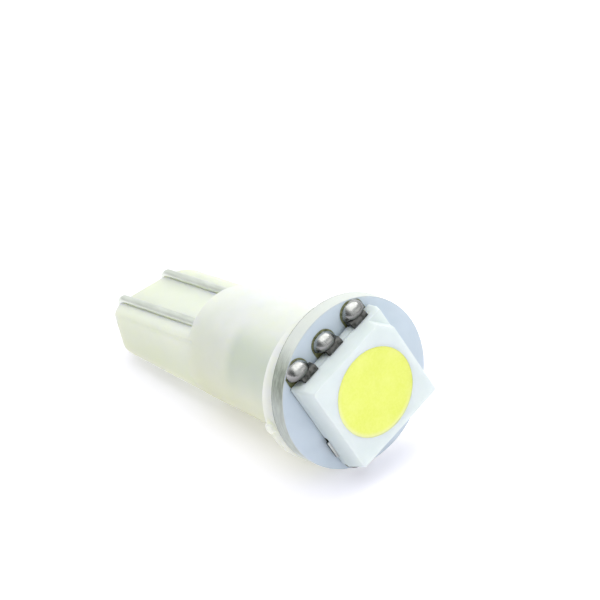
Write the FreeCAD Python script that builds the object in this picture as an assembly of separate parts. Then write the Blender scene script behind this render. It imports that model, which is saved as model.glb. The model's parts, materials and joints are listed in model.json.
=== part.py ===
import FreeCAD, Part

import math
import os

from FreeCAD import Placement, Rotation, Vector

# A small wedge base LED bulb: one square surface-mount LED on a round board, glued to the
# flange of a hollow nylon base whose flat wedge carries two bent contact wires.
#
# Bulb frame: X runs along the base towards the light and is zero at the flange's front face,
# Y runs across the wedge, Z is normal to the wedge's upper flat. All sizes are millimetres.

# Base moulding
flange_radius = 3.45
flange_thickness = 0.75
flange_edge_chamfer = 0.1
flange_root_chamfer = 0.2
barrel_front_radius = 2.78
barrel_shoulder_radius = 2.56
barrel_length = 6.9
shoulder_chamfer = 0.2
shoulder_chamfer_length = 0.25
bore_radius = 1.95
end_wall_thickness = 1.05
gate_nub_radius = 0.24
gate_nub_height = 0.18
gate_nub_angle = 184.0
wedge_length = 6.25
wedge_width = 4.6
wedge_root_thickness = 2.9
wedge_tip_thickness = 2.05
wedge_corner_radius = 1.2
most_tip_round_share = 0.45
wedge_edge_round = 0.42

# Contact wires
wire_radius = 0.21
wire_spacing = 2.5
wire_stand = 0.02
groove_clearance = 0.02
groove_overrun = 0.25
channel_clearance = 0.05
inner_wire_spacing = 1.9
inner_wire_height = 0.15
channel_bend_radius = 0.35
channel_lead_in = 0.35
channel_mouth = 0.25
channel_overrun = 0.16
wire_return_length = 3.2
bend_sections = 3

# How the bulb lies: rolled a little about its own axis, to where its weight is lowest
rest_roll = 4.0

# Resistor inside the base
resistor_length = 3.2
resistor_radius = 0.8
resistor_end_taper = 0.4
resistor_to_channel = 0.3

# Board, and how it sits on the base: pushed off centre and turned, as it was glued
board_margin = 0.25
board_thickness = 0.81
board_shift_y = 0.32
board_shift_z = 0.2
board_turn = -72.0
pad_thickness = 0.05
pad_side_margin = 0.17
pad_inner_margin = 0.15
pad_outer_margin = 0.52
pad_pitch_extra = 0.12
pad_rim_gap = 0.04
rear_pad_radius = 0.55
rear_solder_radius = 0.48
rear_solder_length = 0.62
solder_clearance = 0.01

# LED package, measured from the board's front face
package_size = 5.0
package_width_trim = 0.05
package_end_flare = 0.09
package_top_draft = 0.15
package_lower_inset = 0.01
package_bottom_draft = 0.02
package_corner_round = 0.14
package_height = 1.45
package_standoff = 0.12
lead_level = 0.55
cavity_share = 0.8
cavity_slope_run = 0.28
fill_recess = 0.01
notch_width = 1.15
notch_length = 0.83
notch_depth = 0.57
notch_wall_run = 0.05

# Lead frame
lead_thickness = 0.15
leads_per_side = 3
lead_pitch_share = 0.32
lead_width_share = 0.54
lead_overhang = 0.22
lead_foot_length = 0.67
lead_bend_radius = 0.2
least_inside_bend = 0.02
die_pad_gap = 0.3
die_pad_pitch_share = 0.61
die_pad_width_share = 0.76
die_pad_length_share = 0.58
pad_neck_length = 0.45
tie_bar_share = 0.184
tie_bar_offset_share = 0.264
tie_bar_drop = 0.28
tie_bar_depth = 0.3
tie_bar_proud = 0.08
tie_bar_recess = 0.16
tie_bar_inner_gap = 0.18
tie_bar_outer_gap = 0.03
tie_bar_gap_below = 0.1

# LED chips
die_length = 0.58
die_width = 0.36
die_height = 0.15
die_edge_gap = 0.12

# Solder beads on the front of the board
bead_radius = 0.42
bead_straight = 0.34
bead_drop = 0.02
bead_centre_gap = 0.02

# Places that follow from the sizes
barrel_back = -(flange_thickness + barrel_length)
bore_depth = -barrel_back - end_wall_thickness
wedge_tip = barrel_back - wedge_length
wedge_slope = math.atan2(wedge_root_thickness - wedge_tip_thickness, 2 * wedge_length)
tip_edge_round = min(wedge_edge_round, most_tip_round_share * wedge_tip_thickness)
fold_radius = tip_edge_round + wire_stand
package_top_size = package_size - 2 * package_top_draft
package_width = package_size - 2 * package_width_trim
package_length = package_size + 2 * package_end_flare
board_radius = package_size / math.sqrt(2) + board_margin
cavity_radius = cavity_share * package_size / 2
cavity_floor_radius = cavity_radius - cavity_slope_run
die_pad_pitch = die_pad_pitch_share * cavity_floor_radius
die_pad_width = die_pad_width_share * die_pad_pitch
die_pad_length = die_pad_length_share * cavity_floor_radius
lead_pitch = lead_pitch_share * package_size
lead_width = lead_width_share * lead_pitch
pad_pitch = lead_pitch + pad_pitch_extra
lead_reach = package_size / 2 + lead_overhang
lead_foot_end = lead_reach - lead_foot_length
pad_width = lead_width + 2 * pad_side_margin
pad_inner_end = lead_foot_end - pad_inner_margin
pad_outer_end = lead_reach + pad_outer_margin
tie_bar_width = tie_bar_share * package_size
tie_bar_offset = tie_bar_offset_share * package_size
tie_bar_level = lead_level - tie_bar_drop
lead_top = lead_level + lead_thickness / 2
lead_bottom = lead_level - lead_thickness / 2
channel_start = -(bore_depth - channel_lead_in)
resistor_back = channel_start + resistor_to_channel
resistor_front = resistor_back + resistor_length
lead_rows = [row - (leads_per_side - 1) / 2 for row in range(leads_per_side)]

X_AXIS = Vector(1, 0, 0)
Y_AXIS = Vector(0, 1, 0)
Z_AXIS = Vector(0, 0, 1)
ORIGIN = Vector(0, 0, 0)


def rounded_wire(points, closed):
    """Straight runs through (point, radius) pairs, joined by tangent arcs where radius > 0."""
    count = len(points)
    trims = []
    for index, (point, radius) in enumerate(points):
        is_end = not closed and index in (0, count - 1)
        if radius <= 0 or is_end:
            trims.append((point, None, point))
            continue
        back = (points[index - 1][0] - point).normalize()
        ahead = (points[(index + 1) % count][0] - point).normalize()
        half_angle = back.getAngle(ahead) / 2
        tangent = radius / math.tan(half_angle)
        inward = (back + ahead).normalize()
        middle = point + inward * (radius / math.sin(half_angle) - radius)
        trims.append((point + back * tangent, middle, point + ahead * tangent))
    edges = []
    for index, (start, middle, end) in enumerate(trims):
        if middle is not None:
            edges.append(Part.Arc(start, middle, end).toShape())
        if index + 1 < count or closed:
            following = trims[(index + 1) % count][0]
            if end.distanceToPoint(following) > 1e-6:
                edges.append(Part.LineSegment(end, following).toShape())
    return Part.Wire(edges)


def outline(corners, place):
    """A flat face from (a, b) or (a, b, radius) corners; place turns (a, b) into a point."""
    points = [(place(*corner[:2]), corner[2] if len(corner) > 2 else 0) for corner in corners]
    return Part.Face(rounded_wire(points, closed=True))


def turned(corners, axis_point=ORIGIN):
    """A solid of revolution about X from (x, radius) corners, through axis_point."""
    face = outline(corners, lambda x, radius: Vector(x, radius, 0))
    solid = face.revolve(ORIGIN, X_AXIS, 360)
    solid.translate(axis_point)
    return solid


def round_bar(start, end, radius):
    """A straight round bar between two points."""
    return Part.makeCylinder(radius, start.distanceToPoint(end), start, end - start)


def tapered_slab(low, low_size, high, high_size, corner):
    """A slab with rounded corners whose (width, length) section changes along X."""
    wires = []
    for x, (width, length) in ((low, low_size), (high, high_size)):
        y = width / 2
        z = length / 2
        corners = [Vector(x, -y, -z), Vector(x, y, -z), Vector(x, y, z), Vector(x, -y, z)]
        wires.append(rounded_wire([(point, corner) for point in corners], closed=True))
    return Part.makeLoft(wires, True, True)


def tube(route, radius):
    """A round tube along a route of (point, bend radius) pairs: straight bars and lofted bends."""
    pieces = []
    for edge in rounded_wire(route, closed=False).Edges:
        first, last = edge.FirstParameter, edge.LastParameter
        if isinstance(edge.Curve, Part.Line):
            pieces.append(round_bar(edge.valueAt(first), edge.valueAt(last), radius))
            continue
        sections = []
        for step in range(bend_sections + 1):
            place = first + (last - first) * step / bend_sections
            circle = Part.makeCircle(radius, edge.valueAt(place), edge.tangentAt(place))
            sections.append(Part.Wire(circle))
        pieces.append(Part.makeLoft(sections, True, False))
    return pieces[0].fuse(pieces[1:]).removeSplitter()


def wedge_half(x):
    """Half the wedge's thickness at x."""
    share = (barrel_back - x) / wedge_length
    return (wedge_root_thickness * (1 - share) + wedge_tip_thickness * share) / 2


def wire_level(x):
    """Height of a contact wire's centre line over the wedge's middle plane at x."""
    return wedge_half(x) + wire_stand / math.cos(wedge_slope)


def channel_corner(side):
    """Where a wire's slanted run through the barrel's end wall meets its run along the wedge."""
    x = barrel_back + channel_mouth
    return Vector(x, side * wire_spacing / 2, wire_level(x))


def contact_route(side, start_x):
    """Centre line of a contact wire: out of the bore, along the wedge, over its tip and back."""
    inner_y = side * inner_wire_spacing / 2
    outer_y = side * wire_spacing / 2
    fold_x = wedge_tip - wire_stand
    end_x = wedge_tip + wire_return_length
    return [
        (Vector(start_x, inner_y, inner_wire_height), 0),
        (Vector(channel_start, inner_y, inner_wire_height), channel_bend_radius),
        (channel_corner(side), channel_bend_radius),
        (Vector(fold_x, outer_y, wire_level(fold_x)), fold_radius),
        (Vector(fold_x, outer_y, -wire_level(fold_x)), fold_radius),
        (Vector(end_x, outer_y, -wire_level(end_x)), 0),
    ]


def make_barrel():
    """The flange and the hollow barrel, turned as one profile, and the bore to cut from them."""
    chamfer = flange_edge_chamfer
    outer = turned([
        (0, 0),
        (0, flange_radius - chamfer),
        (-chamfer, flange_radius),
        (-flange_thickness, flange_radius),
        (-flange_thickness, barrel_front_radius + flange_root_chamfer),
        (-flange_thickness - flange_root_chamfer, barrel_front_radius),
        (barrel_back + shoulder_chamfer_length, barrel_shoulder_radius),
        (barrel_back, barrel_shoulder_radius - shoulder_chamfer),
        (barrel_back, 0),
    ])
    return outer, round_bar(ORIGIN, ORIGIN - X_AXIS * bore_depth, bore_radius)


def make_wedge():
    """The tapered flat wedge with rounded tip corners and soft long edges."""
    root = (barrel_back - bore_depth) / 2
    half_width = wedge_width / 2
    plan = outline([
        (root, -half_width),
        (wedge_tip, -half_width, wedge_corner_radius),
        (wedge_tip, half_width, wedge_corner_radius),
        (root, half_width),
    ], lambda x, y: Vector(x, y, -wedge_root_thickness))
    side = outline([
        (root, -wedge_half(root)),
        (wedge_tip, -wedge_half(wedge_tip)),
        (wedge_tip, wedge_half(wedge_tip)),
        (root, wedge_half(root)),
    ], lambda x, z: Vector(x, -wedge_width, z))
    slab = plan.extrude(Z_AXIS * 2 * wedge_root_thickness)
    wedge = slab.common(side.extrude(Y_AXIS * 2 * wedge_width))

    def is_flat_border(edge):
        middle = edge.valueAt((edge.FirstParameter + edge.LastParameter) / 2)
        on_flat = abs(abs(middle.z) - wedge_half(middle.x)) < 1e-4
        return on_flat and middle.x < root - 1e-4

    borders = [edge for edge in wedge.Edges if is_flat_border(edge)]
    return wedge.makeFillet(tip_edge_round, borders)


def make_channel(side):
    """The hole through the barrel's end wall that a contact wire comes out of."""
    corner = channel_corner(side)
    inside = Vector(channel_start, side * inner_wire_spacing / 2, inner_wire_height)
    outside_x = barrel_back - channel_mouth
    outside = Vector(outside_x, corner.y, wire_level(outside_x))
    radius = wire_radius + channel_clearance
    past_corner = corner + (corner - inside).normalize() * channel_overrun
    return [round_bar(inside, past_corner, radius), round_bar(corner, outside, radius)]


def make_groove(side):
    """The slot that a contact wire lies in, along the upper flat, round the tip and back."""
    sunk = wire_radius + groove_clearance - wire_stand
    inner_round = fold_radius - wire_radius - groove_clearance
    floor_end = wedge_tip + sunk
    outer_end = wedge_tip - wedge_root_thickness
    start_level = wedge_half(barrel_back) - sunk
    end_level = wedge_half(floor_end) - sunk
    core = outline([
        (barrel_back, -start_level),
        (floor_end, -end_level, inner_round),
        (floor_end, end_level, inner_round),
        (barrel_back, start_level),
    ], lambda x, z: Vector(x, -wedge_width, z)).extrude(Y_AXIS * 2 * wedge_width)
    half_width = wire_radius + groove_clearance
    low_y = side * wire_spacing / 2 - half_width
    return_end = wedge_tip + wire_return_length + groove_overrun
    upper = Part.makeBox(barrel_back - outer_end, 2 * half_width, wedge_root_thickness,
                         Vector(outer_end, low_y, 0))
    lower = Part.makeBox(return_end - outer_end, 2 * half_width, wedge_root_thickness,
                         Vector(outer_end, low_y, -wedge_root_thickness))
    return upper.fuse(lower).cut(core)


def make_base():
    """The one-piece base: barrel, wedge, gate nub, wire channels and grooves."""
    outer, bore = make_barrel()
    angle = math.radians(gate_nub_angle)
    outward = Vector(0, math.cos(angle), math.sin(angle))
    middle = Vector(-flange_thickness / 2, 0, 0)
    nub = round_bar(middle + outward * barrel_front_radius,
                    middle + outward * (flange_radius + gate_nub_height), gate_nub_radius)
    base = outer.fuse([make_wedge(), nub]).removeSplitter().cut(bore)
    for side in (-1, 1):
        base = base.cut([make_groove(side), *make_channel(side)])
    return base


def make_resistor():
    """The resistor's coated body, with tapered ends."""
    end_face_radius = resistor_radius / 2
    return turned([
        (resistor_back, 0),
        (resistor_back, end_face_radius),
        (resistor_back + resistor_end_taper, resistor_radius),
        (resistor_front - resistor_end_taper, resistor_radius),
        (resistor_front, end_face_radius),
        (resistor_front, 0),
    ], Vector(0, -inner_wire_spacing / 2, inner_wire_height))


def make_rear_joint(side):
    """The solder pad on the back of the board and the solder cone round the wire's end."""
    centre = Vector(0, side * inner_wire_spacing / 2, inner_wire_height)
    hole = wire_radius + solder_clearance
    tip = hole + wire_radius / 4
    pad = round_bar(centre, centre - X_AXIS * pad_thickness, rear_pad_radius)
    cone = turned([
        (-pad_thickness, hole),
        (-pad_thickness, rear_solder_radius),
        (-pad_thickness - rear_solder_length, tip),
        (-pad_thickness - rear_solder_length, hole),
    ], centre)
    return pad, cone


def make_package_outside():
    """The LED package's outside: a lower and an upper taper that meet at the lead frame."""
    parting = (package_width, package_length)
    below = [size - 2 * package_lower_inset for size in parting]
    bottom = [size - 2 * package_bottom_draft for size in below]
    top = (package_top_size, package_top_size)
    lower = tapered_slab(package_standoff, bottom, lead_level, below, package_corner_round)
    upper = tapered_slab(lead_level, parting, package_height, top, package_corner_round)
    return lower.fuse(upper).removeSplitter()


def make_cavity(top):
    """The round cavity over the lead frame, filled up to the given height."""
    share = (top - lead_top) / (package_height - lead_top)
    top_radius = cavity_floor_radius + share * (cavity_radius - cavity_floor_radius)
    return turned([
        (lead_top, 0),
        (lead_top, cavity_floor_radius),
        (top, top_radius),
        (top, 0),
    ])


def make_notch():
    """The corner cut that marks the package's polarity, with a steep wall down to a ledge."""
    corner_y = -package_width / 2
    corner_z = package_length / 2
    wires = []
    for x, run in ((package_height - notch_depth, 0), (package_height, notch_wall_run)):
        wires.append(Part.makePolygon([
            Vector(x, corner_y, corner_z),
            Vector(x, corner_y + notch_width + run, corner_z),
            Vector(x, corner_y, corner_z - notch_length - run),
            Vector(x, corner_y, corner_z),
        ]))
    return Part.makeLoft(wires, True, True)


def make_lead(side, row):
    """One lead: a pad under the cavity, a neck through the wall, and a leg folded under."""
    level = row * lead_pitch
    half = lead_width / 2
    neck_start = die_pad_gap / 2 + die_pad_length
    neck_end = neck_start + pad_neck_length
    pad_level = row * die_pad_pitch
    pad_half = die_pad_width / 2
    plan = outline([
        (die_pad_gap / 2, pad_level - pad_half),
        (neck_start, pad_level - pad_half),
        (neck_end, level - half),
        (package_top_size / 2, level - half),
        (package_top_size / 2, level + half),
        (neck_end, level + half),
        (neck_start, pad_level + pad_half),
        (die_pad_gap / 2, pad_level + pad_half),
    ], lambda y, z: Vector(lead_bottom, y, z))
    inner = plan.extrude(X_AXIS * lead_thickness)
    inside_bend = max(lead_bend_radius - lead_thickness, least_inside_bend)
    leg_face = outline([
        (package_top_size / 2, lead_top),
        (lead_reach, lead_top, lead_bend_radius),
        (lead_reach, pad_thickness, lead_bend_radius),
        (lead_foot_end, pad_thickness),
        (lead_foot_end, pad_thickness + lead_thickness),
        (lead_reach - lead_thickness, pad_thickness + lead_thickness, inside_bend),
        (lead_reach - lead_thickness, lead_bottom, inside_bend),
        (package_top_size / 2, lead_bottom),
    ], lambda y, x: Vector(x, y, level - half))
    leg = leg_face.extrude(Z_AXIS * lead_width)
    lead = inner.fuse(leg).removeSplitter()
    if side < 0:
        lead = lead.mirror(ORIGIN, Y_AXIS)
    return lead


def make_tie_bar(side):
    """The sheared end of a lead frame tie bar in the package's side, and its recess to cut."""
    floor = package_length / 2 - tie_bar_recess
    bottom = tie_bar_level - lead_thickness / 2
    inner_side = tie_bar_offset - tie_bar_width / 2
    stub = Part.makeBox(lead_thickness, tie_bar_width, tie_bar_recess + tie_bar_proud,
                        Vector(bottom, inner_side, floor))
    recess_height = lead_thickness + tie_bar_gap_below
    recess_width = tie_bar_inner_gap + tie_bar_width + tie_bar_outer_gap
    recess_low = Vector(bottom - tie_bar_gap_below, inner_side - tie_bar_inner_gap, floor)
    recess = Part.makeBox(recess_height, recess_width, package_size / 2, recess_low)
    root_low = Vector(bottom, recess_low.y, floor - tie_bar_depth)
    root = Part.makeBox(lead_thickness, recess_width, tie_bar_depth, root_low)
    bar = stub.fuse(root).removeSplitter()
    if side < 0:
        bar = bar.mirror(ORIGIN, Z_AXIS)
        recess = recess.mirror(ORIGIN, Z_AXIS)
    return bar, recess


def make_die(row):
    """One LED chip on its lead frame pad."""
    far_end = -(die_pad_gap / 2 + die_edge_gap)
    corner = Vector(lead_top, far_end - die_length, row * die_pad_pitch - die_width / 2)
    return Part.makeBox(die_height, die_length, die_width, corner)


def make_front_pad(side, row):
    """One solder pad on the front of the board, kept clear of its rim."""
    size = Vector(pad_thickness, pad_outer_end - pad_inner_end, pad_width)
    corner = Vector(0, pad_inner_end, row * pad_pitch - pad_width / 2)
    pad = Part.makeBox(size.x, size.y, size.z, corner)
    if side < 0:
        pad = pad.mirror(ORIGIN, Y_AXIS)
    limit = Part.makeCylinder(board_radius - pad_rim_gap, package_height, ORIGIN, X_AXIS)
    return pad.common(limit)


def make_bead(side, row):
    """One oblong solder bead that stands on its pad against a lead's outer face."""
    ends = [Vector(-bead_drop, lead_reach + bead_centre_gap, row * pad_pitch + half)
            for half in (-bead_straight / 2, bead_straight / 2)]
    middle = round_bar(ends[0], ends[1], bead_radius)
    balls = [Part.makeSphere(bead_radius, end, Z_AXIS) for end in ends]
    keep = Part.makeBox(package_height, board_radius, package_size,
                        Vector(pad_thickness, lead_reach, row * pad_pitch - package_size / 2))
    bead = middle.fuse(balls).removeSplitter().common(keep)
    if side < 0:
        bead = bead.mirror(ORIGIN, Y_AXIS)
    return bead


def make_led():
    """The LED package's nodes in the board frame, from the board's front face up."""
    nodes = {}
    number = 0
    for side in (-1, 1):
        for row in lead_rows:
            number += 1
            nodes[f"led_lead_{number}"] = make_lead(side, row)
            nodes[f"front_pad_{number}"] = make_front_pad(side, row)
            nodes[f"front_solder_{number}"] = make_bead(side, row)
    recesses = []
    for side, name in ((-1, "front"), (1, "back")):
        nodes[f"tie_bar_{name}"], recess = make_tie_bar(side)
        recesses.append(recess)
    fill = make_cavity(package_height - fill_recess)
    for index, row in enumerate(lead_rows, start=1):
        die = make_die(row)
        nodes[f"led_chip_{index}"] = die
        fill = fill.cut(die)
    nodes["phosphor_fill"] = fill
    body = make_package_outside().cut([make_cavity(package_height), make_notch(), *recesses])
    metal = [shape for name, shape in nodes.items() if name.startswith(("led_lead", "tie_bar"))]
    nodes["led_body"] = body.cut(metal)
    return nodes


def rest_pitch():
    """How far the light end is raised when the barrel's rear edge and the rim touch a table."""
    roll = math.radians(rest_roll)
    board_reach = board_radius - board_shift_y * math.sin(roll) - board_shift_z * math.cos(roll)
    rear_x = barrel_back + shoulder_chamfer_length
    rims = [(-flange_thickness, flange_radius), (0, board_reach), (board_thickness, board_reach)]
    rises = [math.atan2(reach - barrel_shoulder_radius, x - rear_x) for x, reach in rims]
    return math.degrees(max(rises))


def rest_turn():
    """The turn from the base's own axes to the bulb that lies on a table."""
    return Rotation(Y_AXIS, -rest_pitch()).multiply(Rotation(X_AXIS, rest_roll))


def build():
    """All nodes in the resting frame, by name."""
    nodes = {"base_moulding": make_base(), "resistor_body": make_resistor()}
    inner_start = Vector(-pad_thickness, -inner_wire_spacing / 2, inner_wire_height)
    inner_end = Vector(resistor_front, inner_start.y, inner_start.z)
    nodes["resistor_lead"] = round_bar(inner_start, inner_end, wire_radius)
    nodes["contact_wire_left"] = tube(contact_route(-1, resistor_back), wire_radius)
    nodes["contact_wire_right"] = tube(contact_route(1, -pad_thickness), wire_radius)
    for side, name in ((-1, "left"), (1, "right")):
        pad, cone = make_rear_joint(side)
        nodes[f"rear_pad_{name}"] = pad
        nodes[f"rear_solder_{name}"] = cone

    board_nodes = {"circuit_board": Part.makeCylinder(board_radius, board_thickness,
                                                      ORIGIN - X_AXIS * board_thickness, X_AXIS)}
    board_nodes.update(make_led())
    on_base = Placement(Vector(board_thickness, board_shift_y, board_shift_z),
                        Rotation(X_AXIS, board_turn))
    for name, shape in board_nodes.items():
        shape.Placement = on_base.multiply(shape.Placement)
        nodes[name] = shape

    lying = Placement(ORIGIN, rest_turn())
    for shape in nodes.values():
        shape.Placement = lying.multiply(shape.Placement)
    box = Part.makeCompound(list(nodes.values())).optimalBoundingBox(False)
    to_origin = Vector(-box.Center.x, -box.Center.y, -box.ZMin)
    for shape in nodes.values():
        shape.translate(to_origin)
    return nodes, to_origin


if __name__ == "__main__":
    os.makedirs("parts", exist_ok=True)
    solids, moved = build()
    for node, solid in sorted(solids.items()):
        solid.exportStep(f"parts/{node}.step")
    print("nodes", len(solids), "pitch", round(rest_pitch(), 3), "moved", moved)
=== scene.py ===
import json
import math

import bmesh
import bpy
from mathutils import Matrix, Vector, noise


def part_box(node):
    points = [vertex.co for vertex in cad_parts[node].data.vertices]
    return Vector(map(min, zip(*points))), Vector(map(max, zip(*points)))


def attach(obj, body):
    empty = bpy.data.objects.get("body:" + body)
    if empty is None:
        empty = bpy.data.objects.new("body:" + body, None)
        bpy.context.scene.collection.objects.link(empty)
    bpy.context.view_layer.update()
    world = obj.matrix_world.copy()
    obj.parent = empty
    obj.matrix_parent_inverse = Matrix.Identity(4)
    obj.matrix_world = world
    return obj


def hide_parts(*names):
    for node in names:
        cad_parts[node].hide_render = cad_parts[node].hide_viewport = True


# Looks of a small wedge base LED bulb that lies on a white table. All sizes are metres.
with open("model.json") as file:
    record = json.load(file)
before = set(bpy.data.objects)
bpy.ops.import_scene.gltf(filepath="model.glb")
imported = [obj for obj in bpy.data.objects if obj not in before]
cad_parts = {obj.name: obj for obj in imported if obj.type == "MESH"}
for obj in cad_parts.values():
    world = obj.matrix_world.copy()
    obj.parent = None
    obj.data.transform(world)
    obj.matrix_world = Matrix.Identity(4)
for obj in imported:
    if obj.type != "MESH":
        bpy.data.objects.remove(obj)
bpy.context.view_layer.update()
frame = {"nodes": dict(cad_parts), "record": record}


mm = 0.001
up = Vector((0, 0, 1))

# Camera: a long lens close to a small object, turned a little about its own axis
camera_azimuth = math.radians(-35.11)
camera_elevation = math.radians(32.13)
camera_roll = math.radians(-7.05)
camera_distance = 178.95 * mm
camera_aim = Vector((0.78, 1.85, 4.72)) * mm
camera_lens = 248.03
camera_sensor_width = 36
camera_clip_start = 0.01
camera_clip_end = 10

# Table, and a light tent with one darker zone, its middle and edges in degrees
table_half = 0.5
table_glow = 0.28
tent_strength = 0.85
room_strength = 0.15
tent_colour = (0.96, 0.98, 1.0, 1)
dark_azimuth = -94
dark_elevation = 1
dark_inner_angle = 20
dark_outer_angle = 70

# Soft lights: name, azimuth, elevation, distance, size, power and colour
soft_lights = [
    ("overhead", 172, 83, 0.40, (0.40, 0.40), 0.6, (1.0, 1.0, 0.99)),
    ("far_side", 102, 56, 0.40, (0.15, 0.15), 0.14, (1.0, 1.0, 1.0)),
    ("front_fill", 28, 30, 0.45, (0.30, 0.20), 0.1, (1.0, 1.0, 1.0)),
]

# Solder beads and their pads, in the board's own directions. The hidden side is side 1.
pad_thickness = 0.05 * mm
pad_margin = 0.04 * mm
pad_corner_steps = 8
bead_straight = 0.06 * mm
bead_extra_reach = {-1: 0.09 * mm, 1: -0.08 * mm}
bead_extra_rise = 0.25 * mm
bead_dip = 0.1
bead_leans = (-0.12 * mm, -0.12 * mm, 0.0)
bead_spread = 3.0
bead_lump = 0.03 * mm
bead_crease = 0.7 * mm
bead_lump_step = 3.1
bead_subdivisions = 5

# Phosphor
phosphor_sag = 0.05 * mm
phosphor_recess = 0.004 * mm
phosphor_slope = 0.28 * mm
phosphor_creep = 0.03 * mm
phosphor_rings = 24
phosphor_spokes = 96

# Soft edges on the moulded and stamped pieces
mould_edge = 0.05 * mm
metal_edge = 0.02 * mm
weld_distance = 0.001 * mm
edge_angle = math.radians(35)
edge_segments = 2

axis = -Vector(frame["record"]["mounts"][0]["axis"]).normalized()


def centre_of(name):
    """The mean place of a CAD node's vertices."""
    vertices = frame["nodes"][name].data.vertices
    return sum((vertex.co for vertex in vertices), Vector()) / len(vertices)


def box_centre(name):
    """The middle of a CAD node's box."""
    low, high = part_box(name)
    return (low + high) / 2


def reach_along(name, direction):
    """How far a CAD node reaches along a direction."""
    return max(vertex.co.dot(direction) for vertex in frame["nodes"][name].data.vertices)


# The board's frame: its centre in its front face, u across the rows of leads, v along them
middle_across = centre_of("led_lead_5") - centre_of("led_lead_2")
board_u = (middle_across - axis * middle_across.dot(axis)).normalized()
board_v = axis.cross(board_u)
board_centre = box_centre("circuit_board")
board_front = board_centre + axis * (reach_along("circuit_board", axis) - board_centre.dot(axis))


def on_board(height, u, v):
    """A point by its height over the board's front face and its place across and along."""
    return board_front + axis * height + board_u * u + board_v * v


def board_range(name, direction):
    """How far a CAD node reaches backwards and forwards along a direction of the board."""
    vertices = frame["nodes"][name].data.vertices
    places = [(vertex.co - board_front).dot(direction) for vertex in vertices]
    return min(places), max(places)


def half_extent(name, direction):
    """Half of a CAD node's extent along a direction of the board."""
    low, high = board_range(name, direction)
    return (high - low) / 2


# Sizes that the materials take from the CAD nodes
board_radius = board_range("circuit_board", board_v)[1]
package_half = board_range("led_body", board_u)[1]
package_end = board_range("led_body", board_v)[1]
solder_near = min(abs(place) for place in board_range("front_solder_1", board_u))
recess_half_width = half_extent("tie_bar_front", board_u) + 0.03 * mm
recess_half_height = half_extent("tie_bar_front", axis) + 0.06 * mm
covered_half_width = package_half - 0.12 * mm
covered_half_length = package_end - 0.05 * mm

# Tie bar: how deep and where its sheared end is bright, and where the painted shade in its recess
# sits; the colour of the painted shade there and under the package
sheared_depth = 0.06 * mm
sheared_band_rise = 0.09 * mm
sheared_band_half = 0.09 * mm
recess_shade_drop = 0.07 * mm
painted_shade_colour = (0.07, 0.08, 0.045)

# Resistor: how far the middle of its painted shadow on the barrel lies from it, and its bands by
# place and colour
resistor_shadow_offset = Vector((0, -0.45, 0.7)) * mm
band_half_width = 0.14 * mm
resistor_bands = [
    (-1.05 * mm, (0.45, 0.20, 0.06)),
    (-0.45 * mm, (0.02, 0.02, 0.02)),
    (0.1 * mm, (0.40, 0.05, 0.03)),
    (0.95 * mm, (0.50, 0.36, 0.10)),
]

inside_fade = 0.03 * mm
metal_bump = 0.006 * mm


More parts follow.
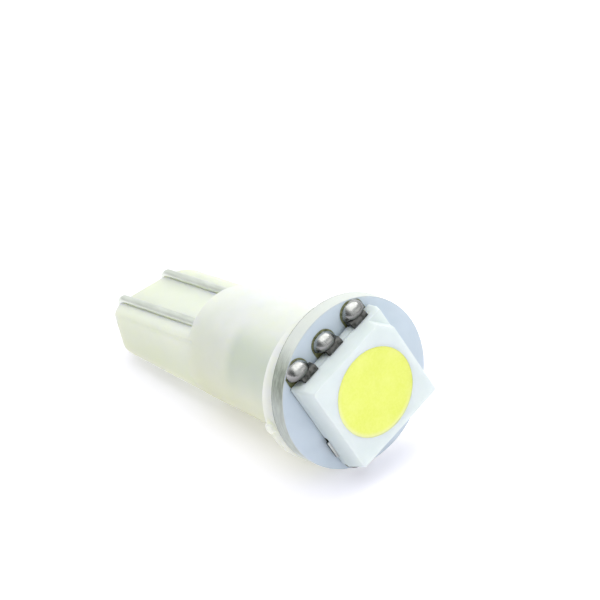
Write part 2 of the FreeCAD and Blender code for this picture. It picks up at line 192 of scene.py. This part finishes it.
class Shader:
    """A material under construction: its node tree and its main surface node."""

    def __init__(self, name):
        self.material = bpy.data.materials.new(name)
        self.material.use_nodes = True
        self.tree = self.material.node_tree
        self.surface = self.tree.nodes["Principled BSDF"]
        self.place = self.tree.nodes.new("ShaderNodeTexCoord").outputs["Object"]

    def set(self, **values):
        """Constants of the surface, by their labels with underscores for spaces."""
        for label, value in values.items():
            self.surface.inputs[label.replace("_", " ")].default_value = value

    def link(self, output, label):
        """A socket that drives one input of the surface."""
        self.tree.links.new(output, self.surface.inputs[label])

    def vector_math(self, operation):
        """A new node for one operation on vectors."""
        node = self.tree.nodes.new("ShaderNodeVectorMath")
        node.operation = operation
        return node

    def math(self, operation, first, second):
        """One operation on two values, each a number or a socket."""
        node = self.tree.nodes.new("ShaderNodeMath")
        node.operation = operation
        for socket, value in zip(node.inputs, (first, second)):
            if isinstance(value, (int, float)):
                socket.default_value = value
            else:
                self.tree.links.new(value, socket)
        return node.outputs[0]

    def noise(self, size, detail=3.0, roughness=0.5, stretch=None):
        """Cloudy variation whose patches are about the given size, stretched along one direction."""
        texture = self.tree.nodes.new("ShaderNodeTexNoise")
        texture.inputs["Scale"].default_value = 1 / size
        texture.inputs["Detail"].default_value = detail
        texture.inputs["Roughness"].default_value = roughness
        place = self.place if stretch is None else self.squeezed(*stretch)
        self.tree.links.new(place, texture.inputs["Vector"])
        return texture.outputs["Fac"]

    def squeezed(self, direction, factor):
        """Coordinates in which everything is longer by factor along a direction."""
        scaled = self.math("MULTIPLY", self.along(direction, Vector()), 1 / factor - 1)
        vector = self.vector_math("SCALE")
        vector.inputs[0].default_value = direction
        self.tree.links.new(scaled, vector.inputs["Scale"])
        total = self.vector_math("ADD")
        self.tree.links.new(self.place, total.inputs[0])
        self.tree.links.new(vector.outputs[0], total.inputs[1])
        return total.outputs[0]

    def along(self, direction, origin):
        """Distance along a direction from a point, in metres."""
        dot = self.vector_math("DOT_PRODUCT")
        dot.inputs[1].default_value = direction
        self.tree.links.new(self.place, dot.inputs[0])
        return self.math("SUBTRACT", dot.outputs["Value"], origin.dot(direction))

    def beside(self, direction, origin):
        """Distance along a direction from a point, the same to both sides."""
        return self.math("ABSOLUTE", self.along(direction, origin), 0)

    def inside(self, direction, middle, half_width):
        """1 within half_width of a point along a direction, 0 beyond."""
        offset = self.beside(direction, middle)
        return self.ramp(offset, half_width - inside_fade, half_width, 1.0, 0.0)

    def from_axis(self, direction, origin):
        """Distance from an axis through a point, in metres."""
        offset = self.vector_math("SUBTRACT")
        offset.inputs[1].default_value = origin
        self.tree.links.new(self.place, offset.inputs[0])
        cross = self.vector_math("CROSS_PRODUCT")
        cross.inputs[1].default_value = direction
        self.tree.links.new(offset.outputs[0], cross.inputs[0])
        length = self.vector_math("LENGTH")
        self.tree.links.new(cross.outputs[0], length.inputs[0])
        return length.outputs["Value"]

    def ramp(self, value, low, high, to_low=0.0, to_high=1.0):
        """A value carried smoothly from one range to another."""
        node = self.tree.nodes.new("ShaderNodeMapRange")
        node.interpolation_type = "SMOOTHSTEP"
        node.inputs["From Min"].default_value = low
        node.inputs["From Max"].default_value = high
        node.inputs["To Min"].default_value = to_low
        node.inputs["To Max"].default_value = to_high
        self.tree.links.new(value, node.inputs["Value"])
        return node.outputs["Result"]

    def mix(self, share, first, second):
        """A colour between two, each a colour or a socket."""
        node = self.tree.nodes.new("ShaderNodeMix")
        node.data_type = "RGBA"
        colour_inputs = [socket for socket in node.inputs if socket.type == "RGBA"]
        for socket, value in zip(colour_inputs, (first, second)):
            if isinstance(value, tuple):
                socket.default_value = (*value, 1)
            else:
                self.tree.links.new(value, socket)
        self.tree.links.new(share, node.inputs["Factor"])
        return next(socket for socket in node.outputs if socket.type == "RGBA")

    def mottled(self, cloud, first, second):
        """Two colours in soft patches."""
        return self.mix(self.ramp(cloud, 0.3, 0.7), first, second)

    def bump(self, height, depth):
        """Small relief from a value between 0 and 1."""
        node = self.tree.nodes.new("ShaderNodeBump")
        node.inputs["Strength"].default_value = 1.0
        node.inputs["Distance"].default_value = depth
        self.tree.links.new(height, node.inputs["Height"])
        self.link(node.outputs["Normal"], "Normal")

    def soft(self, weight, depth, tint=(1.0, 0.9, 0.7)):
        """Light that goes a little way into the material."""
        self.set(Subsurface_Weight=weight, Subsurface_Scale=depth, Subsurface_Radius=tint)

    def bare_metal(self, cloud, colour, roughness):
        """The finished material of a metal: its colour, patchy roughness and faint relief."""
        self.link(colour, "Base Color")
        self.link(self.ramp(cloud, 0.25, 0.75, *roughness), "Roughness")
        self.set(Metallic=1.0)
        self.bump(cloud, metal_bump)
        return self.material


def nylon():
    """Milky base, painted darker and greener low down as shade, with a painted shadow where the
    resistor shows through.
    """
    milk, milk_light = (0.84, 0.90, 0.76), (0.88, 0.93, 0.81)
    wedge_shaded_green, barrel_shaded_green = (0.75, 0.79, 0.58), (0.68, 0.70, 0.42)
    resistor_shadow = (0.56, 0.64, 0.52)
    flange_rear = (-1.9 * mm, -1.4 * mm)
    barrel_rear = (-9.0 * mm, -7.5 * mm)
    low_shade_heights = (0.5 * mm, 5.5 * mm)
    low_shade_share, low_shade_share_on_flange = 0.85, 0.4
    shadow_reach = (1.0 * mm, 1.8 * mm)
    shadow_rear = (-0.5 * mm, 0.3 * mm)
    shadow_share = 0.6
    shader = Shader("milky_nylon")
    depth = shader.along(axis, board_front)
    behind_flange = shader.ramp(depth, *flange_rear, 1.0, 0.0)
    # Painted shade: the lower part of the base is painted darker and greener.
    low = shader.ramp(shader.along(up, Vector()), *low_shade_heights, low_shade_share, 0.0)
    low = shader.math("MULTIPLY", low, shader.ramp(behind_flange, 0, 1, low_shade_share_on_flange, 1.0))
    green = shader.mix(shader.ramp(depth, *barrel_rear), wedge_shaded_green, barrel_shaded_green)
    colour = shader.mix(low, shader.mottled(shader.noise(1.6 * mm), milk, milk_light), green)
    # Painted shadow of the resistor on the barrel wall, a little off the resistor itself.
    shadow_centre = box_centre("resistor_body") + resistor_shadow_offset
    shadow = shader.ramp(shader.from_axis(axis, shadow_centre), *shadow_reach, shadow_share, 0.0)
    shadow = shader.math("MULTIPLY", shadow, shader.ramp(shader.along(axis, shadow_centre), *shadow_rear))
    shadow = shader.math("MULTIPLY", shadow, behind_flange)
    shader.link(shader.mix(shadow, colour, resistor_shadow), "Base Color")
    shader.set(Roughness=0.42, IOR=1.53, Coat_Weight=0.1, Coat_Roughness=0.3)
    shader.soft(0.9, 1.2 * mm, (1.0, 1.0, 0.55))
    shader.bump(shader.noise(0.25 * mm, detail=4), 0.006 * mm)
    return shader.material


def laminate():
    """White mask on the board's faces and raw grey-green glass cloth on its sawn rim; the rim is
    painted lighter by height, and the mask under the package is painted dark as shade.
    """
    mask_dark, mask_light = (0.565, 0.655, 0.725), (0.60, 0.69, 0.76)
    mask_edge = (0.72, 0.77, 0.77)
    cloth_dark, cloth_light = (0.32, 0.36, 0.29), (0.50, 0.56, 0.47)
    cloth_painted_light, cloth_painted_top_light = (0.86, 0.92, 0.87), (0.93, 0.985, 0.91)
    glue_shadow = (0.16, 0.18, 0.12)
    rim_start = (board_radius - 0.012 * mm, board_radius - 0.006 * mm)
    mask_depth = (-0.055 * mm, -0.035 * mm)
    glue_depth = (-0.74 * mm, -0.68 * mm)
    glue_waves = 0.12 * mm
    top_heights = (1.8 * mm, 3.0 * mm)
    middle_heights = (0.3 * mm, 1.5 * mm)
    bottom_heights = (-2.6 * mm, -1.8 * mm)
    shader = Shader("white_mask_board")
    depth = shader.along(axis, board_front)
    height = shader.along(up, board_centre)
    rim = shader.ramp(shader.from_axis(axis, board_centre), *rim_start)
    cloth = shader.noise(0.05 * mm, detail=4, roughness=0.7, stretch=(axis, 0.35))
    streak = shader.noise(0.5 * mm, detail=3, roughness=0.6, stretch=(axis, 0.2))
    raw = shader.mix(shader.ramp(streak, 0.35, 0.65), cloth_dark, cloth_light)
    # Painted light: the rim's cloth is painted lighter near the top, in the middle and near the
    # bottom, against its shading.
    raw = shader.mix(shader.ramp(height, *top_heights, 0.0, 0.95), raw, cloth_painted_top_light)
    raw = shader.mix(shader.ramp(height, *middle_heights, 0.5, 0.0), raw, cloth_painted_light)
    raw = shader.mix(shader.ramp(height, *bottom_heights, 0.8, 0.0), raw, cloth_painted_light)
    glue = shader.math("ADD", depth, shader.math("MULTIPLY", cloth, glue_waves))
    raw = shader.mix(shader.ramp(glue, *glue_depth, 0.8, 0.0), raw, glue_shadow)
    edge = shader.mix(shader.ramp(depth, *mask_depth), raw, mask_edge)
    # Painted shade: the mask under the package is painted nearly black.
    covered = shader.math("MULTIPLY", shader.inside(board_u, board_front, covered_half_width),
                          shader.inside(board_v, board_front, covered_half_length))
    mask = shader.mottled(shader.noise(0.9 * mm), mask_dark, mask_light)
    mask = shader.mix(covered, mask, painted_shade_colour)
    shader.link(shader.mix(rim, mask, edge), "Base Color")
    shader.link(shader.ramp(rim, 0, 1, 0.34, 0.7), "Roughness")
    shader.soft(0.25, 0.3 * mm)
    shader.bump(shader.math("MULTIPLY", cloth, rim), 0.04 * mm)
    return shader.material


def package_plastic():
    """Matte white moulding compound with a faint cool green cast, painted darker along its -v side
    and in the tie bar's recess as shade.
    """
    white_dark, white_light = (0.765, 0.84, 0.825), (0.80, 0.87, 0.855)
    shaded_side_colour = (0.645, 0.725, 0.71)
    shaded_side_depth = 0.3 * mm
    shader = Shader("matte_white_package")
    # Painted shade: the side of the package towards -v is painted darker.
    painted_shade = shader.ramp(shader.along(-board_v, board_centre), package_end - shaded_side_depth, package_end)
    colour = shader.mottled(shader.noise(0.8 * mm), white_dark, white_light)
    colour = shader.mix(painted_shade, colour, shaded_side_colour)
    # Painted shade: the tie bar's recess in the package is painted nearly black.
    recess = box_centre("tie_bar_front") - axis * recess_shade_drop
    recess_shade = shader.math("MULTIPLY", shader.inside(board_u, recess, recess_half_width),
                        shader.inside(axis, recess, recess_half_height))
    shader.link(shader.mix(recess_shade, colour, painted_shade_colour), "Base Color")
    shader.set(Roughness=0.62, IOR=1.45)
    shader.soft(0.5, 0.35 * mm, (1.0, 1.0, 0.8))
    shader.bump(shader.noise(0.06 * mm), 0.004 * mm)
    return shader.material


def phosphor():
    """Yellow gel with fine settled grains, paler along the lower part of its rim."""
    gel, gel_light = (0.79, 0.865, 0.14), (0.83, 0.895, 0.19)
    bloom = (0.92, 0.97, 0.30)
    pale_rim = (0.93, 0.97, 0.50)
    rim_reach = (1.75 * mm, 1.98 * mm)
    lower_part = (-0.6 * mm, 1.2 * mm)
    shader = Shader("yellow_phosphor")
    grain = shader.noise(0.12 * mm, detail=4, roughness=0.6)
    colour = shader.mottled(grain, gel, gel_light)
    colour = shader.mix(shader.ramp(shader.noise(1.1 * mm), 0.35, 0.7, 0, 0.35), colour, bloom)
    pale = shader.ramp(shader.from_axis(axis, board_front), *rim_reach, 0.0, 0.7)
    lower = shader.along((board_u - board_v).normalized(), board_front)
    pale = shader.math("MULTIPLY", pale, shader.ramp(lower, *lower_part))
    shader.link(shader.mix(pale, colour, pale_rim), "Base Color")
    # Painted glow: the gel is given a faint emission of its own.
    shader.set(Roughness=0.3, IOR=1.41, Emission_Color=(0.86, 0.95, 0.1, 1), Emission_Strength=0.05)
    shader.soft(0.4, 0.3 * mm, (1.0, 1.0, 0.2))
    shader.bump(grain, 0.004 * mm)
    return shader.material


def wire_metal():
    """Pale tinned wire with long drawing marks."""
    tin_dark, tin_light = (0.72, 0.76, 0.66), (0.84, 0.88, 0.79)
    shader = Shader("tinned_wire")
    cloud = shader.noise(0.3 * mm, detail=4, roughness=0.6, stretch=(Vector((1, 0, 0)), 6))
    return shader.bare_metal(cloud, shader.mottled(cloud, tin_dark, tin_light), (0.304, 0.494))


def lead_metal():
    """Dull lead frame metal, bright where the tie bars were sheared off, with painted shade below
    that, towards the board.
    """
    dull_dark, dull_light = (0.05, 0.05, 0.045), (0.17, 0.17, 0.16)
    sheared_metal = (0.66, 0.67, 0.65)
    under_bar_colour = (0.02, 0.025, 0.008)
    under_bar_start = (package_end - 0.2 * mm, package_end - 0.1 * mm)
    shader = Shader("dull_lead_frame")
    cloud = shader.noise(0.2 * mm, detail=4, roughness=0.6)
    colour = shader.mottled(cloud, dull_dark, dull_light)
    outward = shader.beside(board_v, board_centre)
    middle = box_centre("tie_bar_front") + axis * sheared_band_rise
    sheared = shader.math("MULTIPLY", shader.ramp(outward, package_end - sheared_depth, package_end),
                          shader.inside(axis, middle, sheared_band_half))
    colour = shader.mix(sheared, colour, sheared_metal)
    # Painted shade: the metal below the sheared band, towards the board, is painted nearly black.
    behind = shader.ramp(shader.along(axis, middle), -sheared_band_half,
                         inside_fade - sheared_band_half, 1.0, 0.0)
    under_bar_shade = shader.math("MULTIPLY", shader.ramp(outward, *under_bar_start), behind)
    return shader.bare_metal(cloud, shader.mix(under_bar_shade, colour, under_bar_colour), (0.42, 0.58))


def solder_metal():
    """Bright solder, painted darker towards the leads as shade and a reflection of the dark lead."""
    solder_dark, solder_light = (0.42, 0.425, 0.405), (0.60, 0.605, 0.585)
    solder_shade_colour = (0.16, 0.16, 0.15)
    shade_width = 0.44 * mm
    shader = Shader("bright_solder")
    cloud = shader.noise(0.3 * mm, detail=4, roughness=0.6)
    colour = shader.mottled(cloud, solder_dark, solder_light)
    # Painted shade and painted reflection: the solder is painted darker towards the lead.
    outward = shader.beside(board_u, board_front)
    painted_shade = shader.ramp(outward, solder_near, solder_near + shade_width, 1.0, 0.0)
    return shader.bare_metal(cloud, shader.mix(painted_shade, colour, solder_shade_colour), (0.2, 0.31))


def coated(name, first, second, roughness, patch):
    """A plain coat with slight unevenness."""
    shader = Shader(name)
    cloud = shader.noise(patch)
    shader.link(shader.mottled(cloud, first, second), "Base Color")
    shader.set(Roughness=roughness)
    shader.bump(cloud, 0.005 * mm)
    return shader.material


def resistor_coat():
    """Blue-grey lacquer with colour bands round the body."""
    lacquer_dark, lacquer_light = (0.30, 0.42, 0.45), (0.36, 0.48, 0.50)
    shader = Shader("banded_resistor")
    centre = box_centre("resistor_body")
    colour = shader.mottled(shader.noise(0.4 * mm), lacquer_dark, lacquer_light)
    for place, band_colour in resistor_bands:
        offset = shader.beside(axis, centre + axis * place)
        band = shader.ramp(offset, band_half_width, band_half_width * 1.2, 1.0, 0.0)
        colour = shader.mix(band, colour, band_colour)
    shader.link(colour, "Base Color")
    shader.set(Roughness=0.25)
    return shader.material


def table_top():
    """White table, lit a little from below, with the faintest unevenness."""
    white_dark, white_light = (0.90, 0.875, 0.945), (0.92, 0.895, 0.965)
    shader = Shader("white_table")
    shader.link(shader.mix(shader.noise(6 * mm), white_dark, white_light), "Base Color")
    shader.set(Roughness=0.6, Emission_Color=(0.97, 0.97, 1.0, 1), Emission_Strength=table_glow)
    return shader.material


materials = {
    "nylon_base": nylon(),
    "board_laminate": laminate(),
    "package_plastic": package_plastic(),
    "phosphor_gel": phosphor(),
    "chip": coated("led_chip", (0.20, 0.30, 0.40), (0.26, 0.36, 0.46), 0.15, 0.1 * mm),
    "lead_frame": lead_metal(),
    "solder": solder_metal(),
    "board_pad": coated("flux_stained_pad", (0.11, 0.12, 0.04), (0.24, 0.25, 0.12), 0.35,
                        0.15 * mm),
    "tinned_wire": wire_metal(),
    "resistor_coat": resistor_coat(),
}
metal_slots = ("lead_frame", "tinned_wire", "solder", "board_pad")
slot_of = {piece["node"]: piece["material_slot"] for piece in frame["record"]["subparts"]}


def shade_smooth(obj, smooth=True):
    """Smooth or flat shading on every face."""
    for polygon in obj.data.polygons:
        polygon.use_smooth = smooth


def soften(obj, width):
    """Round a CAD node's hard edges as real mouldings have them, and keep its shape."""
    weld = obj.modifiers.new("join_faces", "WELD")
    weld.merge_threshold = weld_distance
    bevel = obj.modifiers.new("soft_edges", "BEVEL")
    bevel.width = width
    bevel.segments = edge_segments
    bevel.limit_method = "ANGLE"
    bevel.angle_limit = edge_angle
    bevel.harden_normals = True
    bevel.use_clamp_overlap = True
    shade_smooth(obj)


def dress_nodes():
    """Each CAD node gets its slot's material and soft edges."""
    for name, obj in frame["nodes"].items():
        slot = slot_of[name]
        obj.data.materials.clear()
        obj.data.materials.append(materials[slot])
        soften(obj, metal_edge if slot in metal_slots else mould_edge)


def add_object(name, mesh, material):
    """A finished bmesh as an object in the scene."""
    data = bpy.data.meshes.new(name)
    mesh.to_mesh(data)
    mesh.free()
    data.materials.append(material)
    obj = bpy.data.objects.new(name, data)
    bpy.context.scene.collection.objects.link(obj)
    return obj


def add_piece(name, mesh, slot, replaced):
    """A closed bmesh as a piece that rides with the bulb in place of a CAD node."""
    bmesh.ops.recalc_face_normals(mesh, faces=mesh.faces[:])
    obj = add_object(name, mesh, materials[slot])
    shade_smooth(obj)
    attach(obj, "root")
    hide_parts(replaced)
    return obj


def cut_flat(mesh, point, keep_side):
    """Cut a closed bmesh by a plane, keep the side that the direction points to, and cap it."""
    geometry = mesh.verts[:] + mesh.edges[:] + mesh.faces[:]
    cut = bmesh.ops.bisect_plane(mesh, geom=geometry, plane_co=point, plane_no=keep_side,
                                 clear_inner=True)
    rim = [item for item in cut["geom_cut"] if isinstance(item, bmesh.types.BMEdge)]
    bmesh.ops.contextual_create(mesh, geom=rim)


def join_rings(mesh, first, second):
    """A band of faces between two rings of as many vertices."""
    for index in range(len(first)):
        following = (index + 1) % len(first)
        mesh.faces.new((first[index], second[index], second[following], first[following]))


def bead_footprint(number, side):
    """A bead's near and far ends across the board, and its middle and half length along it."""
    node = f"front_solder_{number}"
    near, far = sorted(abs(place) for place in board_range(node, board_u))
    low, high = board_range(node, board_v)
    middle = (low + high) / 2 + bead_leans[(number - 1) % 3]
    return near, far + bead_extra_reach[side], middle, (high - low) / 2


def solder_bead(number, side):
    """A lumpy solder dome that stands on its pad and slopes down to a lead's outer face."""
    node = f"front_solder_{number}"
    near, far, middle, half = bead_footprint(number, side)
    rise = board_range(node, axis)[1] - pad_thickness + bead_extra_rise
    own_lumps = Vector((number * bead_lump_step, 0, 0))
    mesh = bmesh.new()
    bmesh.ops.create_icosphere(mesh, subdivisions=bead_subdivisions, radius=1)
    for vertex in mesh.verts:
        out, along, height = vertex.co
        lump = noise.noise(vertex.co * (half / bead_crease) + own_lumps)
        size = 1 - (1 + lump) / 2 * bead_lump / half
        straight = bead_straight * max(-1, min(1, along * bead_spread))
        dip = 1 - bead_dip * (1 - min(1, max(0, out))) ** 2
        vertex.co = on_board(pad_thickness + height * rise * size * dip,
                             side * (near + out * (far - near) * size),
                             middle + straight + along * (half - bead_straight) * size)
    cut_flat(mesh, on_board(pad_thickness, 0, 0), axis)
    cut_flat(mesh, on_board(0, side * near, 0), board_u * side)
    add_piece(f"solder_bead_{number}", mesh, "solder", node)


def stained_pad(number, side):
    """The pad with its flux stain: straight under the lead, round beyond the bead."""
    node = f"front_pad_{number}"
    near, far, middle, half = bead_footprint(number, side)
    far += pad_margin
    half += pad_margin
    corner = half - bead_straight
    inner = min(abs(place) for place in board_range(node, board_u))
    outline = [(inner, -half), (inner, half)]
    for end, start_angle in ((1, math.pi / 2), (-1, 0)):
        for step in range(pad_corner_steps + 1):
            angle = start_angle - math.pi / 2 * step / pad_corner_steps
            outline.append((far - corner * (1 - math.cos(angle)),
                            end * (half - corner) + corner * math.sin(angle)))
    rim = board_radius - pad_margin
    mesh = bmesh.new()
    rings = []
    for height in (0, pad_thickness):
        ring = []
        for u, v in outline:
            pull = min(1, rim / math.hypot(u, v + middle))
            ring.append(mesh.verts.new(on_board(height, side * u * pull, (v + middle) * pull)))
        mesh.faces.new(ring)
        rings.append(ring)
    join_rings(mesh, *rings)
    obj = add_piece(f"stained_pad_{number}", mesh, "board_pad", node)
    shade_smooth(obj, False)


def phosphor_window():
    """The yellow fill, with a surface that sags a little from its edge to its middle."""
    bottom = board_range("phosphor_fill", axis)[0]
    top = board_range("led_body", axis)[1] - phosphor_recess
    cad_radius = board_range("phosphor_fill", board_v)[1]
    radius = cad_radius + phosphor_creep
    profile = []
    for step in range(1, phosphor_rings + 1):
        share = step / phosphor_rings
        profile.append((top - phosphor_sag * (1 - share ** 2), radius * share))
    profile.append((bottom, cad_radius - phosphor_slope))
    mesh = bmesh.new()
    centre = mesh.verts.new(on_board(top - phosphor_sag, 0, 0))
    rings = []
    for height, reach in profile:
        ring = []
        for index in range(phosphor_spokes):
            angle = 2 * math.pi * index / phosphor_spokes
            place = on_board(height, reach * math.cos(angle), reach * math.sin(angle))
            ring.append(mesh.verts.new(place))
        rings.append(ring)
    for index in range(phosphor_spokes):
        following = (index + 1) % phosphor_spokes
        mesh.faces.new((centre, rings[0][index], rings[0][following]))
    for inner, outer in zip(rings, rings[1:]):
        join_rings(mesh, inner, outer)
    mesh.faces.new(rings[-1])
    add_piece("phosphor_window", mesh, "phosphor_gel", "phosphor_fill")


def build_details():
    """The pieces that are finer here than in the CAD model."""
    for number in range(1, 7):
        side = 1 if board_range(f"led_lead_{number}", board_u)[1] > package_half else -1
        solder_bead(number, side)
        stained_pad(number, side)
    phosphor_window()


def add_table():
    """A wide plane at the height of the floor."""
    mesh = bmesh.new()
    bmesh.ops.create_grid(mesh, x_segments=1, y_segments=1, size=table_half)
    table = add_object("table", mesh, table_top())


def spherical(azimuth, elevation):
    """A direction from its azimuth and elevation in radians."""
    return Vector((math.cos(azimuth) * math.cos(elevation),
                   math.sin(azimuth) * math.cos(elevation),
                   math.sin(elevation)))


def facing(direction, roll=0.0):
    """A rotation whose local -Z looks along a direction, level and then turned by roll."""
    forward = direction.normalized()
    right = forward.cross(up).normalized()
    above = right.cross(forward)
    turned_right = right * math.cos(roll) + above * math.sin(roll)
    turned_above = above * math.cos(roll) - right * math.sin(roll)
    return Matrix((turned_right, turned_above, -forward)).transposed().to_4x4()


def add_light(name, azimuth, elevation, distance, size, power, colour):
    """A rectangular soft light that looks at the bulb."""
    data = bpy.data.lights.new(name, "AREA")
    data.shape = "RECTANGLE"
    data.size, data.size_y = size
    data.energy = power
    data.color = colour
    light = bpy.data.objects.new(name, data)
    bpy.context.scene.collection.objects.link(light)
    place = spherical(math.radians(azimuth), math.radians(elevation)) * distance
    light.matrix_world = Matrix.Translation(place) @ facing(-place)


def add_tent():
    """An even bright world, with a darker zone in one direction."""
    world = bpy.data.worlds.new("light_tent")
    world.use_nodes = True
    tree = world.node_tree
    background = tree.nodes["Background"]
    place = tree.nodes.new("ShaderNodeTexCoord").outputs["Generated"]
    towards = tree.nodes.new("ShaderNodeVectorMath")
    towards.operation = "DOT_PRODUCT"
    towards.inputs[1].default_value = spherical(math.radians(dark_azimuth),
                                                math.radians(dark_elevation))
    tree.links.new(place, towards.inputs[0])
    fade = tree.nodes.new("ShaderNodeMapRange")
    fade.interpolation_type = "SMOOTHSTEP"
    fade.inputs["From Min"].default_value = math.cos(math.radians(dark_outer_angle))
    fade.inputs["From Max"].default_value = math.cos(math.radians(dark_inner_angle))
    fade.inputs["To Min"].default_value = tent_strength
    fade.inputs["To Max"].default_value = room_strength
    tree.links.new(towards.outputs["Value"], fade.inputs["Value"])
    tree.links.new(fade.outputs["Result"], background.inputs["Strength"])
    background.inputs["Color"].default_value = tent_colour
    bpy.context.scene.world = world


def add_camera():
    """The camera that was fitted to the photo."""
    data = bpy.data.cameras.new("camera")
    data.lens = camera_lens
    data.sensor_width = camera_sensor_width
    data.clip_start = camera_clip_start
    data.clip_end = camera_clip_end
    camera = bpy.data.objects.new("camera", data)
    bpy.context.scene.collection.objects.link(camera)
    outward = spherical(camera_azimuth, camera_elevation)
    place = camera_aim + outward * camera_distance
    camera.matrix_world = Matrix.Translation(place) @ facing(-outward, camera_roll)
    bpy.context.scene.camera = camera


dress_nodes()
build_details()
add_table()
for soft_light in soft_lights:
    add_light(*soft_light)
add_tent()
add_camera()
bpy.context.scene.view_settings.view_transform = "Standard"
